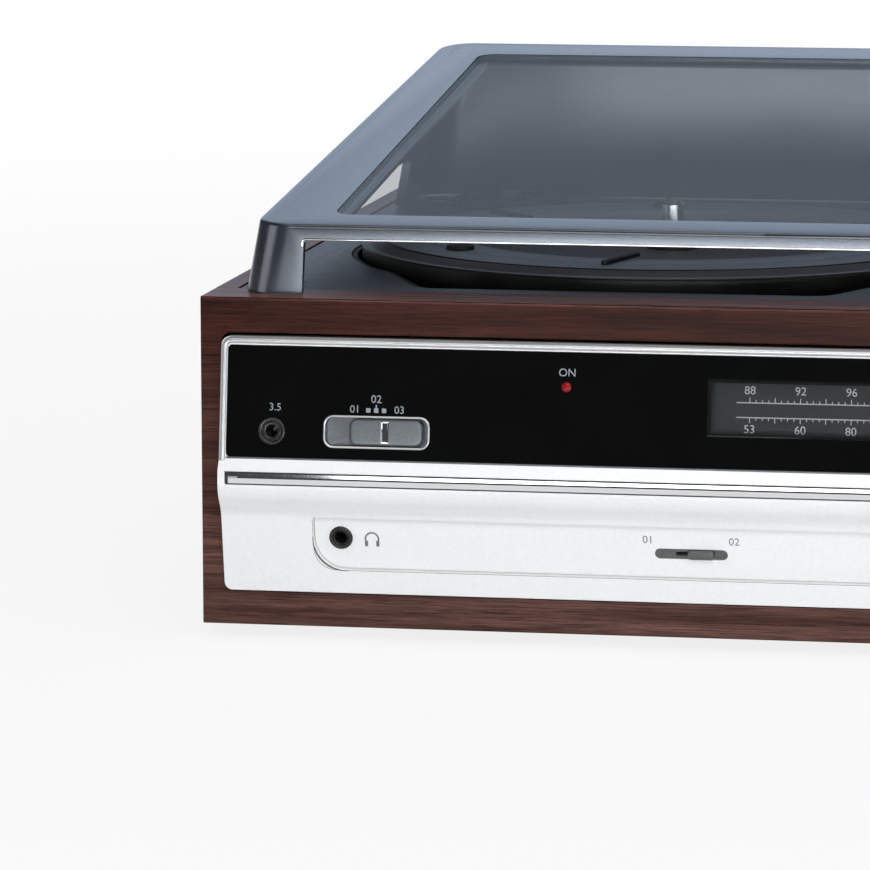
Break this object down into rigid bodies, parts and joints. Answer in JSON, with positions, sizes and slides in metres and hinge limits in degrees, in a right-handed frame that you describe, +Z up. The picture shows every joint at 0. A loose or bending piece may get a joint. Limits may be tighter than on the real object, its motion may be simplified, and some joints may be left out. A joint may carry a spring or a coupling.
{
  "type": "stereo music centre",
  "caption": "Wood-cased stereo music centre: a record deck under a hinged lid with a front mouth, above a leaning tuner front with jacks, slide switches, dial and knobs.",
  "frame": {"origin": "centre of the footprint, on the surface that the rubber feet rest on", "axes": "+X to the right of the front, +Y from the front to the back, +Z up"},
  "size_m": [0.34, 0.3294, 0.1564],
  "materials": {
    "wood": "wood-grain vinyl, satin",
    "board": "dark fibreboard",
    "rubber": "matt",
    "silver": "silver paint, satin",
    "chrome": "polished",
    "black_gloss": "flat gloss",
    "clear": "clear plastic",
    "scale": "printed",
    "jack_black": "moulded",
    "led_red": "clear red",
    "slider_silver": "satin",
    "band_grey": "moulded",
    "knob_silver": "turned, satin",
    "zinc": "zinc plated",
    "drum_white": "moulded",
    "cord_tan": "woven cord",
    "pointer_red": "moulded",
    "circuit": "laminate",
    "rear_black": "satin black",
    "deck_blue_grey": "fine satin",
    "well_black": "satin black",
    "platter_grey": "satin dark grey",
    "steel": "bright",
    "brass": "turned",
    "adaptor_black": "moulded",
    "arm_silver": "satin",
    "shell_black": "moulded",
    "stylus_red": "moulded",
    "lid_black": "satin black moulding",
    "lid_smoke": "smoked clear plastic"
  },
  "bodies": {
    "base": {"front_frame": "wood", "side_boards": "wood", "back_board": "board", "base_board": "board", "rubber_feet": "rubber", "front_panel": "silver", "chrome_strip": "chrome", "dial_window": "black_gloss", "dial_lens": "clear", "dial_scale": "scale", "jacks": "jack_black", "power_led": "led_red", "function_switch": "slider_silver", "control_insert": "silver", "band_switch": "jack_black", "dial_chassis": "zinc", "volume_pot": "jack_black", "tuning_capacitor": "zinc", "dial_cord": "cord_tan", "main_board": "circuit", "power_transformer": "zinc", "rear_panel": "rear_black", "rear_sockets": "jack_black", "mains_inlet": "jack_black", "power_switch": "jack_black", "deck_plate": "deck_blue_grey", "deck_screws": "zinc", "deck_nuts": "zinc", "well_pan": "well_black", "spindle": "steel", "motor": "zinc", "drive_belt": "rubber", "adaptor_disc": "adaptor_black", "arm_base": "deck_blue_grey", "arm_rest": "deck_blue_grey", "hinge_brackets": "zinc", "stop_switch": "deck_blue_grey"},
    "lid": {"lid_frame": "lid_black", "lid_pane": "lid_smoke"},
    "turntable": {"platter": "platter_grey", "hub_cap": "well_black", "platter_pads": "well_black"},
    "pulley": {"motor_pulley": "brass"},
    "yoke": {"arm_yoke": "arm_silver"},
    "arm": {"arm_tube": "arm_silver", "counterweight": "adaptor_black", "headshell": "shell_black", "cartridge": "adaptor_black", "stylus": "stylus_red"},
    "cue": {"cue_lever": "adaptor_black", "lift_bar": "adaptor_black"},
    "speed": {"speed_selector": "deck_blue_grey"},
    "stop": {"stop_slider": "adaptor_black"},
    "function": {"function_slider": "slider_silver"},
    "band": {"band_slider": "band_grey"},
    "volume": {"volume_knob": "knob_silver"},
    "tuning": {"tuning_knob": "knob_silver"},
    "drum": {"tuning_drum": "drum_white"},
    "pointer": {"dial_pointer": "pointer_red"},
    "rocker": {"power_rocker": "jack_black"}
  },
  "joints": [
    {"name": "lid_hinge", "type": "hinge", "parent": "base", "child": "lid", "pos_m": [0, 0.14922, 0.1098], "axis": [-1, 0, 0], "range_deg": [0, 70]},
    {"name": "platter_spin", "type": "hinge", "parent": "base", "child": "turntable", "pos_m": [-0.047, -0.00968, 0.1071], "axis": [0, 0, -1], "continuous": true},
    {"name": "motor_spin", "type": "hinge", "parent": "base", "child": "pulley", "pos_m": [-0.11628, 0.03032, 0.092], "axis": [0, 0, -1], "continuous": true},
    {"name": "arm_swing", "type": "hinge", "parent": "base", "child": "yoke", "pos_m": [0.098, 0.08283, 0.113], "axis": [0, 0, 1], "range_deg": [-42, 0]},
    {"name": "arm_lift", "type": "hinge", "parent": "yoke", "child": "arm", "pos_m": [0.098, 0.08283, 0.124], "axis": [-0.9986, -0.0523, 0], "range_deg": [0, 1]},
    {"name": "cue_turn", "type": "hinge", "parent": "base", "child": "cue", "pos_m": [0.123, 0.05283, 0.11806], "axis": [-1, 0, 0], "range_deg": [0, 40]},
    {"name": "speed_turn", "type": "hinge", "parent": "base", "child": "speed", "pos_m": [0.136, -0.03328, 0.1036], "axis": [0, 0, 1], "range_deg": [-30, 30]},
    {"name": "stop_slide", "type": "slide", "parent": "base", "child": "stop", "axis": [1, 0, 0], "range_m": [0, 0.004]},
    {"name": "function_slide", "type": "slide", "parent": "base", "child": "function", "axis": [1, 0, 0], "range_m": [-0.0048, 0]},
    {"name": "band_slide", "type": "slide", "parent": "base", "child": "band", "axis": [1, 0, 0], "range_m": [-0.006, 0]},
    {"name": "volume_turn", "type": "hinge", "parent": "base", "child": "volume", "pos_m": [0.109, -0.14948, 0.07329], "axis": [0, -0.9903, 0.1392], "range_deg": [-135, 135]},
    {"name": "tuning_turn", "type": "hinge", "parent": "base", "child": "tuning", "pos_m": [0.142, -0.14948, 0.07329], "axis": [0, -0.9903, 0.1392], "range_deg": [-720, 720]},
    {"name": "drum_turn", "type": "hinge", "parent": "base", "child": "drum", "pos_m": [0.043, -0.15143, 0.05942], "axis": [0, -0.9903, 0.1392], "range_deg": [-90, 90]},
    {"name": "pointer_slide", "type": "slide", "parent": "base", "child": "pointer", "axis": [1, 0, 0], "range_m": [-0.04, 0.04]},
    {"name": "rocker_tilt", "type": "hinge", "parent": "base", "child": "rocker", "pos_m": [-0.04, 0.15172, 0.046], "axis": [0, 0, 1], "range_deg": [-6, 6]}
  ],
  "couplings": [
    {"joint": "motor_spin", "follows": "platter_spin", "ratio": 12},
    {"joint": "arm_lift", "follows": "cue_turn", "ratio": 0.025},
    {"joint": "drum_turn", "follows": "tuning_turn", "ratio": 0.11781},
    {"joint": "pointer_slide", "follows": "tuning_turn", "m_per_rad": -0.003}
  ]
}
